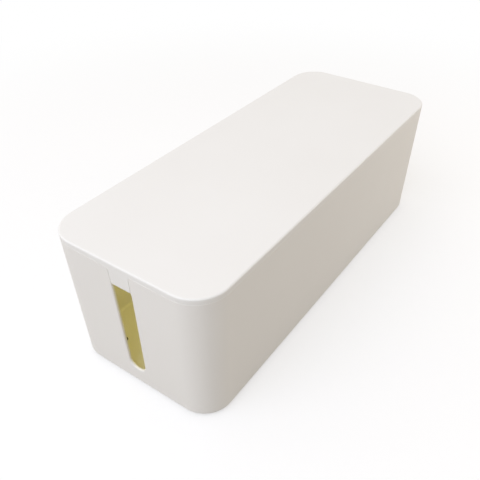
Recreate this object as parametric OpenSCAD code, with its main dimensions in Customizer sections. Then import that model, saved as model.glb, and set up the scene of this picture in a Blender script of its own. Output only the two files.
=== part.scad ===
// A long moulded box that hides a power strip and its leads. A drafted tub stands on four
// push-in rubber feet, both short ends are slotted for cables, and a flush lid lifts off.
// X runs along the length, Y across and Z up. The origin is the middle of the footprint.

/* [Box] */
// Length over the lid, the widest place
box_l = 406; // [320:1:440]
// Width over the lid
box_w = 158; // [130:1:180]
// Height from the surface to the top of the lid
box_h = 134; // [120:1:150]
// Radius of the upright corners at the top of the lid
corner_r = 28.5; // [22:0.5:36]
// Draft of the side walls in degrees, narrower downwards
draft = 1; // [0.5:0.25:1.5]
// Thickness of the side walls
wall = 2.5; // [2.3:0.1:3.2]
// Thickness of the floor
floor_t = 3; // [2.6:0.1:3.6]
// Outer radius along the bottom edge
bottom_r = 3; // [2:0.5:4]

/* [Cable slots] */
// Width of the slot in each end wall, at the rim
slot_w = 20.6; // [17:0.2:24]
// Draft of the slot's sides in degrees, narrower downwards
slot_draft = 1; // [0:0.25:1.5]
// Height of the slot's lowest point above the surface
slot_low = 19; // [14:0.5:40]
// Radius of the rounded edge all round the slot outside
slot_edge_r = 1.2; // [0.8:0.1:1.6]
// Radius of the two corners where the slot meets the rim
slot_mouth_r = 2.5; // [1.5:0.25:4]

/* [Lid] */
// Height of the lid's side that shows above the seam
lid_band = 5.5; // [5:0.25:8]
// Thickness of the lid's plate
lid_t = 2.8; // [2.4:0.1:3.2]
// Radius round the lid's top edge
lid_edge_r = 1.5; // [1:0.25:2.25]
// Depth of the lip inside the tub, below the seam
lip_depth = 6; // [4:0.5:9]
// Thickness of the lip
lip_t = 1.6; // [1.4:0.1:2]
// Gap between the lip and the tub's wall
lip_gap = 0.4; // [0.3:0.05:0.6]
// Distance from the lid's top down to the lower edge of its end tabs
tab_drop = 21; // [16:0.5:26]
// Gap on each side of a tab in its slot
tab_gap = 0.25; // [0.2:0.05:0.6]

/* [Feet] */
// Distance of the feet from the ends of the box
foot_from_end = 28.5; // [26:0.5:80]
// Distance of the feet from the long sides of the box
foot_from_side = 35; // [28:1:50]
// Diameter of a foot's pad
foot_d = 14; // [12:0.5:16]
// Gap that the feet leave under the tub
foot_stand = 1.5; // [1.25:0.25:2.5]
// Diameter of a foot's stem
stem_d = 3.6; // [3.2:0.1:5]

/* [Hidden] */
$fn = 96;
corner_x = box_l / 2 - corner_r;
corner_y = box_w / 2 - corner_r;
rim_z = box_h - lid_band;
floor_z = foot_stand + floor_t;
tab_low = box_h - tab_drop;
lip_low = rim_z - lip_depth;
// Radius of the slot's round bottom, tangent to its sides, and the height of its centre
slot_r = (slot_w / 2 - (rim_z - slot_low) * tan(slot_draft)) / (1 / cos(slot_draft) - tan(slot_draft));
slot_round_z = slot_low + slot_r;
foot_x = box_l / 2 - foot_from_end;
foot_y = box_w / 2 - foot_from_side;
// Half of the V-shaped groove that marks the seam
seam_bevel = 0.25;
// Radius between the floor and the walls inside
inner_bottom_r = 2.5;
// Lead-in chamfers that guide the lip into the rim
lead_in = 0.6;
// Radius between the lip and the lid's plate
lip_root_r = 1;
// Radius of the slot's edge inside
slot_back_r = 0.6;
// Angle through which the slot's edges turn before they run out straight
edge_turn = 70;
// Radius of a tab's lower corners
tab_corner_r = 1.2;
// The lip stops this far from each side of a slot
lip_break = 4;
// Gussets behind a tab: thickness, distance from the middle and reach along the plate
gusset_t = 1.5;
gusset_y = 6;
gusset_reach = 9;
// Recess under the floor that locates a foot, and the hole for its stem
foot_recess = 0.8;
foot_clear = 0.1;
// Barbed head above the floor that keeps a foot in its hole
barb_d = stem_d + 1.4;
barb_h = 1.8;
// Margin by which cutters pass the faces that they cut
over = 1;
// Straight steps that draw each small rounded edge
arc_steps = 6;

// Distance of the outer face from a corner's axis, at a height
function outer_at(z) = corner_r - (box_h - z) * tan(draft);

// The same for the inner face
function inner_at(z) = outer_at(z) - wall;

// Half of the slot's width at a height on its straight sides
function slot_half(z) = slot_r / cos(slot_draft) + (z - slot_round_z) * tan(slot_draft);

// Points along an arc, from one angle to the other
function arc(centre, r, from, to) =
    [for (i = [0 : arc_steps])
        let (a = from + (to - from) * i / arc_steps)
            centre + r * [cos(a), sin(a)]];

// Centre of a rounded edge that is tangent to a drafted face and to a level one r away
function edge_centre(face_u, z, r) = [face_u - r / cos(draft), z];

// Carries a profile, drawn as distance from the corner's axis and height, round the box
module carry_round() {
    for (quarter = [0 : 3]) {
        along_x = quarter == 0 || quarter == 3 ? 1 : -1;
        along_y = quarter < 2 ? 1 : -1;
        translate([along_x * corner_x, along_y * corner_y, 0])
            rotate([0, 0, 90 * quarter])
                rotate_extrude(angle = 90)
                    children();
    }
    for (end = [-1, 1]) {
        translate([end * corner_x, 0, 0])
            rotate([90, 0, end < 0 ? 180 : 0])
                linear_extrude(2 * corner_y, center = true)
                    children();
        translate([0, end * corner_y, 0])
            rotate([90, 0, end * 90])
                linear_extrude(2 * corner_x, center = true)
                    children();
    }
}

// Half section of the tub: floor, rounded bottom edge, drafted wall and bevelled rim
module tub_profile() {
    outer_c = edge_centre(outer_at(foot_stand + bottom_r), foot_stand + bottom_r, bottom_r);
    inner_c = edge_centre(inner_at(floor_z + inner_bottom_r), floor_z + inner_bottom_r, inner_bottom_r);
    polygon(concat(
        [[0, foot_stand]],
        arc(outer_c, bottom_r, -90, -draft),
        [[outer_at(rim_z - seam_bevel), rim_z - seam_bevel],
         [outer_at(rim_z) - seam_bevel, rim_z],
         [inner_at(rim_z) + lead_in, rim_z],
         [inner_at(rim_z - lead_in), rim_z - lead_in]],
        arc(inner_c, inner_bottom_r, -draft, -90),
        [[0, floor_z]]
    ));
}

// Half section of the lid: plate, rounded top edge, side band and locating lip
module lid_profile() {
    edge_c = edge_centre(outer_at(box_h - lid_edge_r), box_h - lid_edge_r, lid_edge_r);
    under_z = box_h - lid_t;
    lip_in = inner_at(lip_low) - lip_gap - lip_t;
    polygon(concat(
        [[0, box_h]],
        arc(edge_c, lid_edge_r, 90, -draft),
        [[outer_at(rim_z + seam_bevel), rim_z + seam_bevel],
         [outer_at(rim_z) - seam_bevel, rim_z],
         [inner_at(rim_z) - lip_gap, rim_z],
         [inner_at(lip_low + lead_in) - lip_gap, lip_low + lead_in],
         [inner_at(lip_low) - lip_gap - lead_in, lip_low],
         [lip_in, lip_low]],
        arc([lip_in - lip_root_r, under_z - lip_root_r], lip_root_r, 0, 90),
        [[0, under_z]]
    ));
}

// Band that widens upwards with the slot, less a gap on each side, from one height to another
module slot_band(low, high, gap) {
    polygon([
        [-slot_half(low) + gap, low],
        [slot_half(low) - gap, low],
        [slot_half(high) - gap, high],
        [-slot_half(high) + gap, high]
    ]);
}

// Corner that a radius leaves between a drafted side, less a gap, and the rim
module mouth_corner(r, gap) {
    low = rim_z - r;
    beside = slot_half(low) - gap + r / cos(slot_draft);
    difference() {
        polygon([
            [0, low],
            [beside, low],
            [beside, rim_z + over],
            [0, rim_z + over]
        ]);
        translate([beside, low])
            circle(r);
    }
}

// Cutter for the rounded edge of a slot: its depth runs from the outer face inwards
module slot_edge_profile() {
    near = arc([slot_r + slot_edge_r, slot_edge_r], slot_edge_r, 180 + edge_turn, 180);
    far = arc([slot_r + slot_back_r, wall - slot_back_r], slot_back_r, 180, 180 - edge_turn);
    run_out = tan(90 - edge_turn);
    polygon(concat(
        [[0, -over], near[0] + over * [1, -run_out]],
        near,
        far,
        [far[arc_steps] + over * [1, run_out], [0, wall + over]]
    ));
}

// Stands a cutter, drawn with its depth along Z, on the drafted end wall at the slot's round
module on_end_wall(end) {
    translate([end * (corner_x + outer_at(slot_round_z)), 0, slot_round_z])
        rotate([0, 0, end < 0 ? 180 : 0])
            rotate([0, draft, 0])
                rotate([0, -90, 0])
                    children();
}

// Both edges of a slot, rounded round its bottom and up its sides as far as the tab, then plain
module slot_edges(end) {
    rounded = (tab_low - slot_round_z) / cos(draft) / cos(slot_draft);
    on_end_wall(end) {
        rotate([0, 0, 90 + slot_draft])
            rotate_extrude(angle = 180 - 2 * slot_draft)
                slot_edge_profile();
        for (side = [0, 1])
            mirror([0, side, 0])
                rotate([0, 0, slot_draft])
                    rotate([0, 90, 0])
                        rotate([0, 0, 90]) {
                            linear_extrude(rounded)
                                slot_edge_profile();
                            linear_extrude(rim_z - slot_round_z + over)
                                translate([0, -over])
                                    square([slot_r, wall + 2 * over]);
                        }
    }
}

module tub() {
    color("ghostwhite")
        difference() {
            union() {
                carry_round()
                    tub_profile();
                translate([-corner_x, -corner_y, foot_stand])
                    cube([2 * corner_x, 2 * corner_y, floor_t]);
            }
            for (end = [-1, 1]) {
                translate([end * (corner_x + inner_at(slot_low) - over), 0, 0])
                    rotate([90, 0, end * 90])
                        slot_through();
                slot_edges(end);
            }
            for (x = [-foot_x, foot_x], y = [-foot_y, foot_y])
                translate([x, y, foot_stand])
                    foot_seat();
        }
}

// Cut through an end wall that opens the middle of the slot and its two mouth corners
module slot_through() {
    linear_extrude(wall + outer_at(box_h) - outer_at(0) + 2 * over) {
        slot_band(slot_round_z, rim_z + over, over);
        for (side = [0, 1])
            mirror([side, 0, 0])
                mouth_corner(slot_mouth_r, 0);
    }
}

// Shallow recess under the floor with a hole up through it
module foot_seat() {
    translate([0, 0, -over])
        cylinder(foot_recess + over, d = foot_d + 2 * foot_clear);
    cylinder(floor_t + over, d = stem_d + 2 * foot_clear);
}

// Outline of a tab, with rounded lower corners and fillets where it leaves the lid's side
module tab_outline() {
    corner_z = tab_low + tab_corner_r;
    corner_y = slot_half(corner_z) - tab_gap - tab_corner_r / cos(slot_draft);
    slot_band(corner_z, rim_z + over, tab_gap);
    translate([-corner_y, tab_low])
        square([2 * corner_y, tab_corner_r + over]);
    for (side = [0, 1])
        mirror([side, 0, 0]) {
            translate([corner_y, corner_z])
                circle(tab_corner_r);
            mouth_corner(slot_mouth_r + tab_gap, tab_gap);
        }
}

// Side view of a tab, flush with the drafted end wall
module tab_profile() {
    top = rim_z + over;
    polygon([
        [inner_at(tab_low), tab_low],
        [outer_at(tab_low), tab_low],
        [outer_at(top), top],
        [inner_at(top), top]
    ]);
}

// Side view of a gusset, from the plate's underside down the back of a tab
module gusset_profile() {
    top = box_h - lid_t + over;
    polygon([
        [inner_at(tab_low + over) + over, tab_low + over],
        [inner_at(top) + over, top],
        [inner_at(top) - gusset_reach, top],
        [inner_at(top) - gusset_reach, rim_z],
        [inner_at(tab_low) - over, tab_low + over]
    ]);
}

// Tab that closes the top of a slot, with two gussets behind it
module end_tab() {
    translate([corner_x, 0, 0]) {
        intersection() {
            rotate([90, 0, 0])
                linear_extrude(2 * slot_w, center = true)
                    tab_profile();
            rotate([90, 0, 90])
                linear_extrude(corner_r + over)
                    tab_outline();
        }
        for (y = [-gusset_y, gusset_y])
            translate([0, y, 0])
                rotate([90, 0, 0])
                    linear_extrude(gusset_t, center = true)
                        gusset_profile();
    }
}

module lid() {
    lip_half = slot_half(rim_z) + lip_break;
    color("white")
        union() {
            difference() {
                union() {
                    carry_round()
                        lid_profile();
                    translate([-corner_x, -corner_y, box_h - lid_t])
                        cube([2 * corner_x, 2 * corner_y, lid_t]);
                }
                for (end = [-1, 1])
                    translate([end * (corner_x + inner_at(lip_low) - lip_t), 0, lip_low - over])
                        translate([-lip_t - over, -lip_half, 0])
                            cube([2 * lip_t + 2 * over, 2 * lip_half, lip_depth + over]);
            }
            for (end = [0, 1])
                mirror([end, 0, 0])
                    end_tab();
        }
}

// Push-in foot: pad in its recess, stem through the floor and a barbed head inside
module foot(x, y) {
    pad_edge = 0.5;
    color("dimgray")
        translate([x, y, 0])
            rotate_extrude()
                polygon([
                    [0, 0],
                    [foot_d / 2 - pad_edge, 0],
                    [foot_d / 2, pad_edge],
                    [foot_d / 2, foot_stand + foot_recess],
                    [stem_d / 2, foot_stand + foot_recess],
                    [stem_d / 2, floor_z],
                    [barb_d / 2, floor_z],
                    [stem_d / 2 - pad_edge, floor_z + barb_h],
                    [0, floor_z + barb_h]
                ]);
}

module foot_front_left() foot(-foot_x, -foot_y);
module foot_front_right() foot(foot_x, -foot_y);
module foot_back_left() foot(-foot_x, foot_y);
module foot_back_right() foot(foot_x, foot_y);

tub();
lid();
foot_front_left();
foot_front_right();
foot_back_left();
foot_back_right();
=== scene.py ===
import math

import bmesh
import bpy
import numpy as np
from mathutils import Matrix, Vector
from mathutils.geometry import tessellate_polygon


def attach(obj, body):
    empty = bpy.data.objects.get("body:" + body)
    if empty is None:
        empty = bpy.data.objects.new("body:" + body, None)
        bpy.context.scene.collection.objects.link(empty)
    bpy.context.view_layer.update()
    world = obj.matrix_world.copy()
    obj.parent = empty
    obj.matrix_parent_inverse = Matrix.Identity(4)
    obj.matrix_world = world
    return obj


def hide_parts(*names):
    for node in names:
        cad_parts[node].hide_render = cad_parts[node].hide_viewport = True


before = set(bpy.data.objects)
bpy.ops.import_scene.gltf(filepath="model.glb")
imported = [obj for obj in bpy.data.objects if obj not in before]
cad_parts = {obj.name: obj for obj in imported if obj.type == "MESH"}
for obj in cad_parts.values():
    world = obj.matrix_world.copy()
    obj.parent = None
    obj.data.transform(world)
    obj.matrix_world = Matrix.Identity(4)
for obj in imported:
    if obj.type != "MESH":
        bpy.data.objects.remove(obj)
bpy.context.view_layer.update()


# ---------------------------------------------------------------------------------------
# Camera. The photo looks down on the near short end from the left, with the long side that
# faces -Y on the right. Its place comes from fitting the box's outline to the photo.
# ---------------------------------------------------------------------------------------
PHOTO_SIZE = 480
# Place and turn of the camera, with the focal length and the picture's centre in pixels
CAMERA_AT = Vector((-0.3927, -0.2458, 0.3868))
CAMERA_AZIMUTH = math.radians(-55.8)
CAMERA_ELEVATION = math.radians(39.8)
CAMERA_ROLL = math.radians(0.3)
FOCAL_PX = 550.0
CENTRE_PX = (252.5, 259.9)

camera_data = bpy.data.cameras.new("camera")
camera_data.sensor_width = 36.0
camera_data.lens = FOCAL_PX / PHOTO_SIZE * camera_data.sensor_width
camera_data.shift_x = (PHOTO_SIZE / 2 - CENTRE_PX[0]) / PHOTO_SIZE
camera_data.shift_y = (CENTRE_PX[1] - PHOTO_SIZE / 2) / PHOTO_SIZE
camera_data.clip_start = 0.01
camera_data.clip_end = 20.0
camera = bpy.data.objects.new("camera", camera_data)
bpy.context.scene.collection.objects.link(camera)
bpy.context.scene.camera = camera
back = Vector((math.sin(CAMERA_AZIMUTH) * math.cos(CAMERA_ELEVATION),
               -math.cos(CAMERA_AZIMUTH) * math.cos(CAMERA_ELEVATION),
               math.sin(CAMERA_ELEVATION)))
level_right = (-back).cross(Vector((0, 0, 1))).normalized()
level_up = level_right.cross(-back)
right = level_right * math.cos(CAMERA_ROLL) + level_up * math.sin(CAMERA_ROLL)
up = level_up * math.cos(CAMERA_ROLL) - level_right * math.sin(CAMERA_ROLL)
camera.matrix_world = Matrix.Translation(CAMERA_AT) @ Matrix((right, up, back)).transposed().to_4x4()


# ---------------------------------------------------------------------------------------
# Tub. One injection moulding of off-white plastic: a drafted wall 2.5 mm thick carried round a
# rounded rectangle, a flat floor, and in each short end a slot whose edges are rounded.
# ---------------------------------------------------------------------------------------
MM = 0.001
BOX_L = 406 * MM
BOX_W = 158 * MM
BOX_H = 134 * MM
CORNER_R = 28.5 * MM
DRAFT = math.tan(math.radians(1.0))
WALL = 2.5 * MM
FLOOR_T = 3 * MM
STAND = 1.5 * MM
BOTTOM_R = 3 * MM
INNER_BOTTOM_R = 2.5 * MM
RIM_Z = BOX_H - 5.5 * MM
# Radii of the rim's edges and of the slot's edges, outside and inside
RIM_EDGES = (0.25 * MM, 0.5 * MM)
SLOT_EDGES = (1.2 * MM, 0.6 * MM)
# Lean of the slot's sides, its width at the rim and its lowest point
SLOT_LEAN = math.radians(1.0)
SLOT_W = 20.6 * MM
SLOT_LOW = 19 * MM
# Height at which the lid's tab ends and the slot's edges start to round off
TAB_LOW = BOX_H - 21 * MM
# Length over which the slot's edges round off below the tab
FADE = 3 * MM
MOUTH_R = 2.5 * MM
FOOT_AT = (174.5 * MM, 44 * MM)
FOOT_RECESS_R = 7.1 * MM
FOOT_RECESS = 0.8 * MM
FOOT_HOLE_R = 1.9 * MM
# Half width of the patch of end wall round a slot, and its lower edge
PATCH_Y = 22 * MM
PATCH_LOW = 13 * MM
# Narrow flat border beside every rounded edge, which keeps the shading of flat faces flat
BORDER = 0.8 * MM
# Edges that turn more than this stay sharp, and points closer than the second value are one
SHARP = math.radians(35)
SAME_POINT = 2e-6
CORNER_X = BOX_L / 2 - CORNER_R
CORNER_Y = BOX_W / 2 - CORNER_R
ARC_STEPS = 8
CORNER_STEPS = 24
SLOT_STEPS = 32
SIDE_STEPS = 12
CIRCLE_STEPS = 48
# Radius of the slot's round bottom, tangent to its leaning sides, and its centre's height
SLOT_R = ((SLOT_W / 2 - (RIM_Z - SLOT_LOW) * math.tan(SLOT_LEAN))
          / (1 / math.cos(SLOT_LEAN) - math.tan(SLOT_LEAN)))
SLOT_ROUND_Z = SLOT_LOW + SLOT_R


def outer_at(z):
    """Distance of the outer face from a corner's axis: the radius less the draft below the top."""
    return CORNER_R - (BOX_H - z) * DRAFT


def slot_half(z):
    """Half width of a slot at a height on its leaning sides."""
    return SLOT_R / math.cos(SLOT_LEAN) + (z - SLOT_ROUND_Z) * math.tan(SLOT_LEAN)


def arc(centre, radius, start, end, steps=ARC_STEPS):
    """Points centre + radius (cos a, sin a), with a going from start to end in degrees."""
    a = np.radians(np.linspace(start, end, steps + 1))
    return np.column_stack((centre[0] + radius * np.cos(a), centre[1] + radius * np.sin(a)))


def plan_path(end_y):
    """Base points and outward normals round the box: quarter turns about the four corner axes,
    joined by straights on which the base point moves and the normal stays."""
    long_x = np.array([-CORNER_X + BORDER, 0.0, CORNER_X - BORDER])
    turn = np.radians(np.linspace(0, 90, CORNER_STEPS + 1))
    base, normal = [], []
    for quarter, (sx, sy) in enumerate(((1, 1), (-1, 1), (-1, -1), (1, -1))):
        a = turn + quarter * math.pi / 2
        base.append(np.tile((sx * CORNER_X, sy * CORNER_Y), (len(a), 1)))
        normal.append(np.column_stack((np.cos(a), np.sin(a))))
        along = {0: (-long_x, CORNER_Y, True), 1: (-end_y, -CORNER_X, False),
                 2: (long_x, -CORNER_Y, True), 3: (end_y, CORNER_X, False)}[quarter]
        moving, fixed, in_x = along
        side = np.full(len(moving), fixed)
        base.append(np.column_stack((moving, side) if in_x else (side, moving)))
        normal.append(np.tile(normal[-1][-1], (len(moving), 1)))
    return np.vstack(base), np.vstack(normal)


def carry_round(base, normal, profile):
    """Surface p(s, t) = base(s) + u(t) normal(s), raised to z(t), for a profile of (u, z)."""
    flat = base[:, None, :] + profile[None, :, :1] * normal[:, None, :]
    height = np.broadcast_to(profile[None, :, 1:], flat.shape[:2] + (1,))
    return np.concatenate((flat, height), axis=2)


def edge_section(outside, inside):
    """Section of a wall's free edge as (distance past the edge, depth below the outer face): a
    quarter round of one radius, a flat and a quarter round of the other."""
    near = arc((-outside, outside), outside, -90, 0)
    far = arc((-inside, WALL - inside), inside, 0, 90)
    return np.vstack((near, far))


def grid_faces(shape, start, closed=False, keep=None):
    """Quads of a grid of points numbered from start, wrapped in its first direction if closed."""
    rows, cols = shape[:2]
    i = np.arange(rows if closed else rows - 1)[:, None]
    j = np.arange(cols - 1)[None, :]
    a, b = i * cols + j, ((i + 1) % rows) * cols + j
    quads = np.stack((a, b, b + 1, a + 1), axis=-1) + start
    if keep is not None:
        return quads[keep]
    return quads.reshape(-1, 4)


def moulding(name, grids, fills):
    """One closed mesh from grids of points and flat fills with holes: points that coincide are
    merged, and edges that turn by more than SHARP stay sharp."""
    points, faces = [], []
    count = 0
    for grid, closed, keep in grids:
        faces += grid_faces(grid.shape, count, closed, keep).tolist()
        points.append(grid.reshape(-1, 3))
        count += grid.shape[0] * grid.shape[1]
    for loops in fills:
        triangles = tessellate_polygon([[Vector(p) for p in loop] for loop in loops])
        faces += (np.array(triangles) + count).tolist()
        points.append(np.vstack(loops))
        count += sum(len(loop) for loop in loops)
    mesh = bpy.data.meshes.new(name)
    mesh.from_pydata(np.vstack(points).tolist(), [], faces)
    work = bmesh.new()
    work.from_mesh(mesh)
    bmesh.ops.remove_doubles(work, verts=work.verts, dist=SAME_POINT)
    bmesh.ops.dissolve_degenerate(work, edges=work.edges, dist=SAME_POINT / 2)
    bmesh.ops.recalc_face_normals(work, faces=work.faces)
    for face in work.faces:
        face.smooth = True
    for edge in work.edges:
        edge.smooth = len(edge.link_faces) == 2 and edge.calc_face_angle() < SHARP
    work.to_mesh(mesh)
    work.free()
    piece = bpy.data.objects.new(name, mesh)
    bpy.context.scene.collection.objects.link(piece)
    return piece


def slot_curve():
    """Free edge of the wall round a slot as (y, z), its normal into the slot, and how far each
    point has gone from the rim's edges to the slot's: a convex mouth corner, a leaning side that
    rounds off below the lid's tab, the round bottom, and the same back up."""
    lean = math.degrees(SLOT_LEAN)
    mouth_low = RIM_Z - MOUTH_R
    mouth_a = np.radians(np.linspace(90, lean, ARC_STEPS + 1))
    mouth_out = np.column_stack((np.cos(mouth_a), np.sin(mouth_a)))
    mouth = (-slot_half(mouth_low) - MOUTH_R / math.cos(SLOT_LEAN), mouth_low) + MOUTH_R * mouth_out
    round_a = np.radians(np.linspace(180 + lean, 270, SLOT_STEPS // 2 + 1))
    round_out = np.column_stack((np.cos(round_a), np.sin(round_a)))
    bottom = (0.0, SLOT_ROUND_Z) + SLOT_R * round_out
    side_z = np.concatenate(([TAB_LOW + MM], TAB_LOW - FADE / 2 * np.arange(4),
                             np.linspace(TAB_LOW - FADE * 1.5, bottom[0, 1], SIDE_STEPS - 4)[1:-1]))
    side = np.column_stack((-slot_half(side_z), side_z))
    line = np.vstack((mouth, side, bottom))
    normal = np.vstack((mouth_out, np.tile(mouth_out[-1], (len(side), 1)), -round_out))
    fade = np.clip((TAB_LOW - line[:, 1]) / FADE, 0, 1)
    grown = fade * fade * (3 - 2 * fade)
    flip = np.array((-1.0, 1.0))
    return (np.vstack((line, line[-2::-1] * flip)), np.vstack((normal, normal[-2::-1] * flip)),
            np.concatenate((grown, grown[-2::-1])))


def on_end(y, z, depth, end):
    """Point of an end wall from its y, height and depth below the outer face."""
    return np.stack((end * (CORNER_X + outer_at(z) - depth), y, z), axis=-1)


def wall_rows(edge):
    """Heights from the rim's edge down the side of the patch, which the wall's own rows repeat."""
    turn_z = RIM_Z - MOUTH_R - BORDER
    return np.concatenate((np.linspace(RIM_Z - edge, turn_z, ARC_STEPS + 1),
                           np.linspace(turn_z, PATCH_LOW, SIDE_STEPS + 1)[1:]))


def nodes_of(name):
    """New node material with its shader, and a short way to add and join nodes."""
    material = bpy.data.materials.new(name)
    material.use_nodes = True
    tree = material.node_tree
    shader = tree.nodes["Principled BSDF"]

    def add(kind, **values):
        made = tree.nodes.new(kind)
        for key, value in values.items():
            if key in made.inputs:
                made.inputs[key].default_value = value
            else:
                setattr(made, key, value)
        return made
    return material, tree, shader, add


def satin_plastic(name, colour, dusk):
    """Off-white plastic from a spark-eroded mould: a slow drift between two near whites, a fine
    grain in the bump, and a roughness that wanders a little."""
    material, tree, shader, add = nodes_of(name)
    place = add("ShaderNodeTexCoord")
    drift = add("ShaderNodeTexNoise", Scale=9.0, Detail=3.0)
    tree.links.new(place.outputs["Object"], drift.inputs["Vector"])
    tint = add("ShaderNodeValToRGB")
    tint.color_ramp.elements[0].color = (*dusk, 1)
    tint.color_ramp.elements[1].color = (*colour, 1)
    tint.color_ramp.elements[0].position = 0.3
    tint.color_ramp.elements[1].position = 0.7
    tree.links.new(drift.outputs["Fac"], tint.inputs["Fac"])
    tree.links.new(tint.outputs["Color"], shader.inputs["Base Color"])
    grain = add("ShaderNodeTexNoise", Scale=2600.0, Detail=2.0)
    tree.links.new(place.outputs["Object"], grain.inputs["Vector"])
    bump = add("ShaderNodeBump", Strength=0.12, Distance=0.00004)
    tree.links.new(grain.outputs["Fac"], bump.inputs["Height"])
    tree.links.new(bump.outputs["Normal"], shader.inputs["Normal"])
    rough = add("ShaderNodeMapRange")
    rough.inputs["To Min"].default_value = 0.38
    rough.inputs["To Max"].default_value = 0.46
    tree.links.new(drift.outputs["Fac"], rough.inputs["Value"])
    tree.links.new(rough.outputs["Result"], shader.inputs["Roughness"])
    shader.inputs["IOR"].default_value = 1.5
    return material


patch_y = np.linspace(-PATCH_Y, PATCH_Y, SLOT_STEPS + 1)
end_y = np.concatenate(([-CORNER_Y + BORDER], patch_y, [CORNER_Y - BORDER]))
base, normal = plan_path(end_y)

bottom_c = (outer_at(STAND + BOTTOM_R) - BOTTOM_R, STAND + BOTTOM_R)
floor_z = STAND + FLOOR_T
inner_c = (outer_at(floor_z + INNER_BOTTOM_R) - WALL - INNER_BOTTOM_R, floor_z + INNER_BOTTOM_R)
rim = edge_section(*RIM_EDGES)
rim_z = RIM_Z + rim[:, 0]
outer_z, inner_z = wall_rows(RIM_EDGES[0]), wall_rows(RIM_EDGES[1])
outer_wall = np.column_stack((outer_at(outer_z), outer_z))[::-1]
rim_rows = np.column_stack((outer_at(rim_z) - rim[:, 1], rim_z))
inner_wall = np.column_stack((outer_at(inner_z) - WALL, inner_z))
profile = np.vstack(([(bottom_c[0] - BORDER, STAND)],
                     arc(bottom_c, BOTTOM_R, -90, -1),
                     [(outer_at(STAND + BOTTOM_R + BORDER), STAND + BOTTOM_R + BORDER)],
                     outer_wall, rim_rows[1:-1], inner_wall,
                     [(outer_at(inner_c[1] + BORDER) - WALL, inner_c[1] + BORDER)],
                     arc(inner_c, INNER_BOTTOM_R, -1, -90),
                     [(inner_c[0] - BORDER, floor_z)]))
wall_grid = carry_round(base, normal, profile)

# The wall leaves room for the patch round each slot
row_start = 1 + (ARC_STEPS + 1) + 1
row_end = row_start + len(outer_wall) + len(rim_rows) - 2 + len(inner_wall) - 1
keep = np.ones((len(base), len(profile) - 1), bool)
in_patch = (np.abs(base[:, 1]) < PATCH_Y + 1e-9) & (np.abs(normal[:, 0]) > 1 - 1e-9)
both_in_patch = in_patch & np.roll(in_patch, -1)
keep[np.ix_(both_in_patch, np.arange(row_start, row_end))] = False

# Each patch fans out from the slot's rounded edge to the rows and columns of the plain wall
tub_grids = [(wall_grid, True, keep)]
line, line_normal, grown = slot_curve()
slot_edges = np.array(RIM_EDGES) + (np.array(SLOT_EDGES) - RIM_EDGES) * grown[:, None]
sections = np.stack([edge_section(*edges) for edges in slot_edges])
strip = line[:, None, :] + line_normal[:, None, :] * sections[..., :1]
# Shares of the way from the slot's edge to the wall, close together at the edge
spread = np.array([0.0, 0.06, 0.3, 0.65, 1.0])
for end in (-1, 1):
    tub_grids.append((on_end(strip[..., 0], strip[..., 1], sections[..., 1], end), False, None))
    for depth, side_z, edge in ((0.0, outer_z, slot_edges[:, :1]), (WALL, inner_z, slot_edges[:, 1:])):
        border = np.vstack((np.column_stack((np.full_like(side_z, -PATCH_Y), side_z)),
                            np.column_stack((patch_y, np.full_like(patch_y, PATCH_LOW)))[1:-1],
                            np.column_stack((np.full_like(side_z, PATCH_Y), side_z[::-1]))))
        tangent = line - line_normal * edge
        patch = (tangent[:, None, :] * (1 - spread)[None, :, None]
                 + border[:, None, :] * spread[None, :, None])
        tub_grids.append((on_end(patch[..., 0], patch[..., 1], depth, end), False, None))
    for row in (patch[0], patch[-1]):
        y = np.repeat(row[:, :1], len(rim), axis=1)
        z = np.broadcast_to(rim_z, y.shape)
        tub_grids.append((on_end(y, z, np.broadcast_to(rim[:, 1], y.shape), end), False, None))

# Recess and stem hole for each foot
turn = np.radians(np.linspace(0, 360, CIRCLE_STEPS, endpoint=False))
circle = np.column_stack((np.cos(turn), np.sin(turn)))
seat = np.array([(FOOT_RECESS_R, STAND), (FOOT_RECESS_R, STAND + FOOT_RECESS),
                 (FOOT_HOLE_R, STAND + FOOT_RECESS), (FOOT_HOLE_R, floor_z)])
seat_low, seat_high = [], []
for x in (-FOOT_AT[0], FOOT_AT[0]):
    for y in (-FOOT_AT[1], FOOT_AT[1]):
        flat = circle[:, None, :] * seat[None, :, :1] + (x, y)
        grid = np.concatenate((flat, np.broadcast_to(seat[None, :, 1:], flat.shape[:2] + (1,))), axis=2)
        tub_grids.append((grid, True, None))
        seat_low.append(grid[:, 0])
        seat_high.append(grid[:, -1])
tub = moulding("tub_moulding", tub_grids,
               [[wall_grid[:, 0]] + seat_low, [wall_grid[:, -1]] + seat_high])
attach(tub, "box")
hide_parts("tub")
tub.data.materials.append(satin_plastic("box_plastic", (0.855, 0.837, 0.805), (0.84, 0.82, 0.785)))


# ---------------------------------------------------------------------------------------
# Lid. A second moulding of the same plastic: a flat plate whose side lies flush with the tub,
# a tab at each end that closes the top of the slot, and a lip that drops inside the rim.
# ---------------------------------------------------------------------------------------
LID_T = 2.8 * MM
LID_EDGE_R = 1.5 * MM
TAB_GAP = 0.25 * MM
TAB_CORNER_R = 1.2 * MM
TAB_FILLET_R = MOUTH_R + TAB_GAP
# Place of a fillet's centre beside its tab
TAB_FILLET_Y = slot_half(RIM_Z - TAB_FILLET_R) - TAB_GAP + TAB_FILLET_R / math.cos(SLOT_LEAN)
LIP_DEPTH = 6 * MM
LIP_T = 1.6 * MM
LIP_GAP = 0.4 * MM
LIP_ROOT_R = 1 * MM
# Free end of the lip beside a slot, and the chamfer along its foot
LIP_BREAK_Y = slot_half(RIM_Z) + 4 * MM
LIP_LEAD = 0.6 * MM
GUSSET_T = 1.5 * MM
GUSSET_Y = 6 * MM
GUSSET_REACH = 9 * MM
# Height at the foot of a gusset
WEB_LOW = TAB_LOW + MM
# How far ribs and lips run into the wall that carries them
ROOTED = 0.15 * MM
UNDER_Z = BOX_H - LID_T
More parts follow.
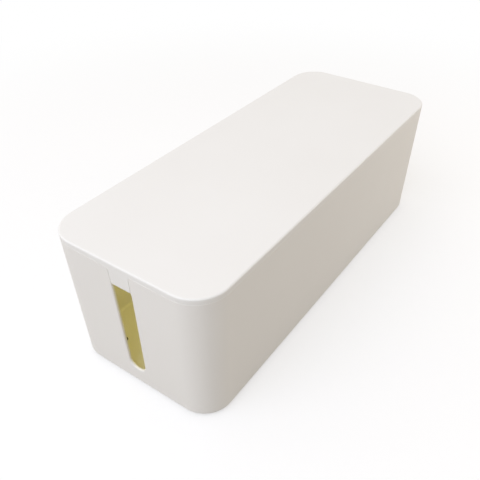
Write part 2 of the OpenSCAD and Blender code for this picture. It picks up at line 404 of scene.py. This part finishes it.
# Height at which the flat side meets the narrow border below the lid's rounded edge
BAND_TOP = BOX_H - LID_EDGE_R - 0.4 * MM


def tab_curve():
    """Free edge of the lid's side from the patch's border over a tab as (y, z), and its normal
    away from the plastic: the seam, a fillet, the tab's side, a corner and its lower edge."""
    lean = math.degrees(SLOT_LEAN)
    seam_y = np.linspace(-PATCH_Y, -TAB_FILLET_Y, 4)[:-1]
    seam = np.column_stack((seam_y, np.full_like(seam_y, RIM_Z)))
    fillet_a = np.radians(np.linspace(90, lean, ARC_STEPS + 1))
    fillet_out = np.column_stack((np.cos(fillet_a), np.sin(fillet_a)))
    fillet = (-TAB_FILLET_Y, RIM_Z - TAB_FILLET_R) + TAB_FILLET_R * fillet_out
    corner_z = TAB_LOW + TAB_CORNER_R
    corner_y = slot_half(corner_z) - TAB_GAP - TAB_CORNER_R / math.cos(SLOT_LEAN)
    corner_a = np.radians(np.linspace(180 + lean, 270, ARC_STEPS + 1))
    corner_out = np.column_stack((np.cos(corner_a), np.sin(corner_a)))
    corner = (-corner_y, corner_z) + TAB_CORNER_R * corner_out
    along = np.linspace(0, 1, SIDE_STEPS + 1)[1:-1, None]
    side = fillet[-1] + (corner[0] - fillet[-1]) * along
    low_y = np.linspace(-corner_y, 0, 5)[1:]
    low = np.column_stack((low_y, np.full_like(low_y, TAB_LOW)))
    line = np.vstack((seam, fillet, side, corner, low))
    down = np.array((0.0, -1.0))
    normal = np.vstack((np.tile(down, (len(seam), 1)), -fillet_out, np.tile(-fillet_out[-1], (len(side), 1)),
                        corner_out, np.tile(down, (len(low), 1))))
    flip = np.array((-1.0, 1.0))
    return np.vstack((line, line[-2::-1] * flip)), np.vstack((normal, normal[-2::-1] * flip))


tab_line, tab_normal = tab_curve()
# The patch above a tab fans out to evenly spaced points along the top of the band
seam_points = np.abs(tab_line[:, 0]) >= TAB_FILLET_Y - 1e-9
top_y = tab_line[:, 0].copy()
top_y[~seam_points] = np.linspace(-TAB_FILLET_Y, TAB_FILLET_Y, (~seam_points).sum() + 2)[1:-1]
lid_end_y = np.concatenate(([-CORNER_Y + BORDER], top_y, [CORNER_Y - BORDER]))
lid_base, lid_normal = plan_path(lid_end_y)

edge_c = (outer_at(BOX_H - LID_EDGE_R) - LID_EDGE_R, BOX_H - LID_EDGE_R)
seam_z = RIM_Z - rim[:, 0]
band_z = BAND_TOP + (seam_z[0] - BAND_TOP) * (1 - spread[::-1])
skirt_z = seam_z[-1] + (UNDER_Z - seam_z[-1]) * spread
lid_profile = np.vstack(([(edge_c[0] - BORDER, BOX_H)],
                         arc(edge_c, LID_EDGE_R, 90, -1),
                         np.column_stack((outer_at(band_z), band_z)),
                         np.column_stack((outer_at(seam_z) - rim[:, 1], seam_z))[1:-1],
                         np.column_stack((outer_at(skirt_z) - WALL, skirt_z)),
                         [(outer_at(UNDER_Z) - WALL - BORDER, UNDER_Z)]))
lid_grid = carry_round(lid_base, lid_normal, lid_profile)
lid_keep = np.ones((len(lid_base), len(lid_profile) - 1), bool)
in_patch = (np.abs(lid_base[:, 1]) < PATCH_Y + 1e-9) & (np.abs(lid_normal[:, 0]) > 1 - 1e-9)
first_row = 1 + ARC_STEPS + 1
lid_keep[np.ix_(in_patch & np.roll(in_patch, -1), np.arange(first_row, len(lid_profile) - 2))] = False

lid_grids = [(lid_grid, True, lid_keep)]
for end in (-1, 1):
    for depth, top_z, edge in ((0.0, BAND_TOP, RIM_EDGES[0]), (WALL, UNDER_Z, RIM_EDGES[1])):
        top = np.column_stack((top_y, np.full_like(top_y, top_z)))
        tangent = tab_line - tab_normal * edge
        patch = tangent[:, None, :] * (1 - spread)[None, :, None] + top[:, None, :] * spread[None, :, None]
        lid_grids.append((on_end(patch[..., 0], patch[..., 1], depth, end), False, None))
    strip = tab_line[:, None, :] + tab_normal[:, None, :] * rim[None, :, :1]
    lid_grids.append((on_end(strip[..., 0], strip[..., 1], rim[None, :, 1], end), False, None))
lid_fills = [[lid_grid[:, 0]], [lid_grid[:, -1]]]

# Lip: two open rings, front and back, that stop short of the slots
lip_low = RIM_Z - LIP_DEPTH
lip_out = WALL + LIP_GAP
lip_in_u = outer_at(lip_low) - lip_out - LIP_T
lip_profile = np.vstack(([(outer_at(UNDER_Z) - WALL + ROOTED, UNDER_Z + ROOTED),
                          (outer_at(RIM_Z) - WALL + ROOTED, RIM_Z + RIM_EDGES[1]),
                          (outer_at(RIM_Z) - lip_out, RIM_Z + RIM_EDGES[1] / 2),
                          (outer_at(lip_low + LIP_LEAD) - lip_out, lip_low + LIP_LEAD),
                          (outer_at(lip_low) - lip_out - LIP_LEAD, lip_low),
                          (lip_in_u, lip_low)],
                         arc((lip_in_u - LIP_ROOT_R, UNDER_Z - LIP_ROOT_R), LIP_ROOT_R, 0, 90),
                         [(lip_in_u - LIP_ROOT_R, UNDER_Z + ROOTED)]))
turn = np.radians(np.linspace(0, 90, CORNER_STEPS + 1))
long_x = np.array([CORNER_X - BORDER, 0.0, -CORNER_X + BORDER])
for side in (-1, 1):
    first = np.column_stack((np.full_like(turn, CORNER_X), np.full_like(turn, CORNER_Y)))
    lip_base = np.vstack(([(CORNER_X, LIP_BREAK_Y)], first,
                          np.column_stack((long_x, np.full(3, CORNER_Y))),
                          first * (-1, 1), [(-CORNER_X, LIP_BREAK_Y)]))
    lip_normal = np.vstack(([(1.0, 0.0)], np.column_stack((np.cos(turn), np.sin(turn))),
                            np.tile((0.0, 1.0), (3, 1)),
                            np.column_stack((-np.sin(turn), np.cos(turn))), [(-1.0, 0.0)]))
    ring = carry_round(lip_base * (1, side), lip_normal * (1, side), lip_profile).transpose(1, 0, 2)
    lid_grids.append((ring, True, None))
    lid_fills += [[ring[:, 0]], [ring[:, -1]]]

# Gussets: thin webs from the plate down the back of each tab
gusset = np.array([(outer_at(WEB_LOW) - WALL + ROOTED, WEB_LOW),
                   (outer_at(UNDER_Z) - WALL + ROOTED, UNDER_Z + ROOTED),
                   (outer_at(UNDER_Z) - WALL - GUSSET_REACH, UNDER_Z + ROOTED),
                   (outer_at(RIM_Z) - WALL - GUSSET_REACH, RIM_Z),
                   (outer_at(TAB_LOW) - WALL - MM, WEB_LOW)])
for end in (-1, 1):
    for middle in (-GUSSET_Y, GUSSET_Y):
        web_y = middle + np.array([-0.5, 0.5]) * GUSSET_T
        web_x = np.repeat(end * (CORNER_X + gusset[:, :1]), 2, axis=1)
        web_z = np.repeat(gusset[:, 1:], 2, axis=1)
        web = np.stack((web_x, np.broadcast_to(web_y, web_x.shape), web_z), axis=-1)
        lid_grids.append((web, True, None))
        lid_fills += [[web[:, 0]], [web[:, 1]]]
lid = moulding("lid_moulding", lid_grids, lid_fills)
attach(lid, "lid")
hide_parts("lid")
# Painted light: the lid's colour is a little lighter and cooler than the tub's, matched to how its lit top
# looks, though both are the same plastic
lid.data.materials.append(satin_plastic("lid_plastic", (0.87, 0.86, 0.835), (0.855, 0.842, 0.815)))


# ---------------------------------------------------------------------------------------
# Feet. Four moulded rubber feet: a pad in its recess, a stem pushed up through the floor, and a
# barbed head that keeps it there.
# ---------------------------------------------------------------------------------------
PAD_R = 7 * MM
PAD_EDGE_R = 0.6 * MM
STEM_R = 1.8 * MM
BARB_R = 2.5 * MM
BARB_H = 1.8 * MM
# Height of the barb's rim, and the round tip's radius and its centre's distance from the axis
BARB_RIM = 0.3 * MM
TIP_R = 0.5 * MM
TIP_X = 0.8 * MM
pad_top = STAND + FOOT_RECESS
foot_profile = np.vstack((arc((PAD_R - PAD_EDGE_R, PAD_EDGE_R), PAD_EDGE_R, -90, 0),
                          [(PAD_R, pad_top), (STEM_R, pad_top), (STEM_R, floor_z), (BARB_R, floor_z),
                           (BARB_R, floor_z + BARB_RIM)],
                          arc((TIP_X, floor_z + BARB_H - TIP_R), TIP_R, 20, 90)))
# Black rubber with a dusty bloom and a fine grain
rubber, tree, shader, add = nodes_of("foot_rubber")
place = add("ShaderNodeTexCoord")
bloom = add("ShaderNodeTexNoise", Scale=260.0, Detail=4.0)
tree.links.new(place.outputs["Object"], bloom.inputs["Vector"])
dust = add("ShaderNodeMix", data_type="RGBA")
dust.inputs["A"].default_value = (0.022, 0.022, 0.021, 1)
dust.inputs["B"].default_value = (0.052, 0.051, 0.048, 1)
tree.links.new(bloom.outputs["Fac"], dust.inputs["Factor"])
tree.links.new(dust.outputs["Result"], shader.inputs["Base Color"])
dull = add("ShaderNodeMapRange")
dull.inputs["To Min"].default_value = 0.6
dull.inputs["To Max"].default_value = 0.82
tree.links.new(bloom.outputs["Fac"], dull.inputs["Value"])
tree.links.new(dull.outputs["Result"], shader.inputs["Roughness"])
grain = add("ShaderNodeTexNoise", Scale=2600.0)
tree.links.new(place.outputs["Object"], grain.inputs["Vector"])
rough = add("ShaderNodeBump", Strength=0.35, Distance=0.0001)
tree.links.new(grain.outputs["Fac"], rough.inputs["Height"])
tree.links.new(rough.outputs["Normal"], shader.inputs["Normal"])

foot_at = {"foot_front_left": (-1, -1), "foot_front_right": (1, -1),
           "foot_back_left": (-1, 1), "foot_back_right": (1, 1)}
for node, (sx, sy) in foot_at.items():
    flat = circle[:, None, :] * foot_profile[None, :, :1] + (sx * FOOT_AT[0], sy * FOOT_AT[1])
    grid = np.concatenate((flat, np.broadcast_to(foot_profile[None, :, 1:], flat.shape[:2] + (1,))), axis=2)
    foot = moulding(node + "_rubber", [(grid, True, None)], [[grid[:, 0]], [grid[:, -1]]])
    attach(foot, "box")
    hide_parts(node)
    foot.data.materials.append(rubber)


# ---------------------------------------------------------------------------------------
# Studio. A plain pale floor that keeps the box's shadow, a pale dome that lights every side like a
# light tent, a large soft lamp above the near end, and a small warm one low at the far end.
# ---------------------------------------------------------------------------------------
FLOOR_HALF = 6.0
# What the floor sends back to the box
FLOOR_TONE = (0.41, 0.385, 0.34, 1)
# Distances from the middle between which the floor's shadow fades into plain white, and the
# share of plain white that it has nearer than that
SHADOW_FULL = 0.35
SHADOW_GONE = 0.9
NEAR_WHITE = 0.5
# Strength of the dome towards -Y, where the photo shows the box in shade, and towards +Y
DOME_DIM = 0.46
DOME_BRIGHT = 1.0
floor_mesh = bpy.data.meshes.new("studio_floor")
floor_mesh.from_pydata([(-FLOOR_HALF, -FLOOR_HALF, 0), (FLOOR_HALF, -FLOOR_HALF, 0),
                        (FLOOR_HALF, FLOOR_HALF, 0), (-FLOOR_HALF, FLOOR_HALF, 0)], [], [(0, 1, 2, 3)])
floor = bpy.data.objects.new("studio_floor", floor_mesh)
bpy.context.scene.collection.objects.link(floor)
paper, tree, shader, add = nodes_of("floor_paper")
shader.inputs["Roughness"].default_value = 0.9
shader.inputs["Specular IOR Level"].default_value = 0.0
seen = add("ShaderNodeLightPath")
tone = add("ShaderNodeMix", data_type="RGBA")
tone.inputs["A"].default_value = FLOOR_TONE
tone.inputs["B"].default_value = (1, 1, 1, 1)
tree.links.new(seen.outputs["Is Camera Ray"], tone.inputs["Factor"])
tree.links.new(tone.outputs["Result"], shader.inputs["Base Color"])
either = add("ShaderNodeMath", operation="MAXIMUM")
tree.links.new(seen.outputs["Is Camera Ray"], either.inputs[0])
tree.links.new(seen.outputs["Is Glossy Ray"], either.inputs[1])
# Far from the box the paper is plain white, and close to it the shadow shows
place = add("ShaderNodeTexCoord")
far = add("ShaderNodeVectorMath", operation="LENGTH")
tree.links.new(place.outputs["Object"], far.inputs[0])
fade = add("ShaderNodeMapRange", interpolation_type="SMOOTHSTEP")
fade.inputs["From Min"].default_value = SHADOW_FULL
fade.inputs["From Max"].default_value = SHADOW_GONE
fade.inputs["To Min"].default_value = NEAR_WHITE
tree.links.new(far.outputs["Value"], fade.inputs["Value"])
lift = add("ShaderNodeMath", operation="MULTIPLY")
tree.links.new(fade.outputs["Result"], lift.inputs[1])
tree.links.new(either.outputs[0], lift.inputs[0])
white = add("ShaderNodeEmission", Strength=1.0)
mixed = add("ShaderNodeMixShader")
tree.links.new(lift.outputs[0], mixed.inputs[0])
tree.links.new(shader.outputs[0], mixed.inputs[1])
tree.links.new(white.outputs[0], mixed.inputs[2])
tree.links.new(mixed.outputs[0], tree.nodes["Material Output"].inputs["Surface"])
floor_mesh.materials.append(paper)

world = bpy.data.worlds.new("studio_dome")
bpy.context.scene.world = world
world.use_nodes = True
tree = world.node_tree
dome = tree.nodes["Background"]
dome.inputs["Color"].default_value = (1.0, 0.94, 0.87, 1)
towards = tree.nodes.new("ShaderNodeTexCoord")
parts = tree.nodes.new("ShaderNodeSeparateXYZ")
tree.links.new(towards.outputs["Generated"], parts.inputs[0])
shade = tree.nodes.new("ShaderNodeMapRange")
shade.inputs["From Min"].default_value = -1.0
shade.inputs["To Min"].default_value = DOME_DIM
shade.inputs["To Max"].default_value = DOME_BRIGHT
tree.links.new(parts.outputs["Y"], shade.inputs["Value"])
tree.links.new(shade.outputs["Result"], dome.inputs["Strength"])
backdrop = tree.nodes.new("ShaderNodeBackground")
backdrop.inputs["Color"].default_value = (1, 1, 1, 1)
seen = tree.nodes.new("ShaderNodeLightPath")
either = tree.nodes.new("ShaderNodeMath")
either.operation = "MAXIMUM"
tree.links.new(seen.outputs["Is Camera Ray"], either.inputs[0])
tree.links.new(seen.outputs["Is Glossy Ray"], either.inputs[1])
mixed = tree.nodes.new("ShaderNodeMixShader")
tree.links.new(either.outputs[0], mixed.inputs[0])
tree.links.new(dome.outputs[0], mixed.inputs[1])
tree.links.new(backdrop.outputs[0], mixed.inputs[2])
tree.links.new(mixed.outputs[0], tree.nodes["World Output"].inputs["Surface"])


def soft_lamp(name, place, aim, size, energy, colour):
    """Round area lamp at place that faces aim."""
    data = bpy.data.lights.new(name, "AREA")
    data.shape = "DISK"
    data.size = size
    data.energy = energy
    data.color = colour
    lamp = bpy.data.objects.new(name, data)
    bpy.context.scene.collection.objects.link(lamp)
    turn = (Vector(place) - Vector(aim)).to_track_quat("Z", "Y").to_matrix().to_4x4()
    lamp.matrix_world = Matrix.Translation(place) @ turn


soft_lamp("key_lamp", (-1.52, 0.12, 1.65), (0, 0, 0.1), 2.4, 24.5, (0.9, 0.987, 1.17))
soft_lamp("fill_lamp", (0.62, -0.7, 0.16), (0.1, 0, 0.05), 0.4, 1.75, (1.0, 0.94, 0.87))

# The photo shows the closed inside lit and olive yellow, and not why. This lamp stands in for that
# light: its colour and strength are set to the photo and come from no property of the plastic.
glow_data = bpy.data.lights.new("inside_glow", "AREA")
glow_data.shape = "RECTANGLE"
glow_data.size = 0.385
glow_data.size_y = 0.138
glow_data.energy = 0.097
glow_data.color = (1.0, 0.87, 0.26)
glow = bpy.data.objects.new("inside_glow", glow_data)
bpy.context.scene.collection.objects.link(glow)
glow.matrix_world = Matrix.Translation((0, 0, UNDER_Z - 2 * MM))

bpy.context.scene.view_settings.view_transform = "Standard"
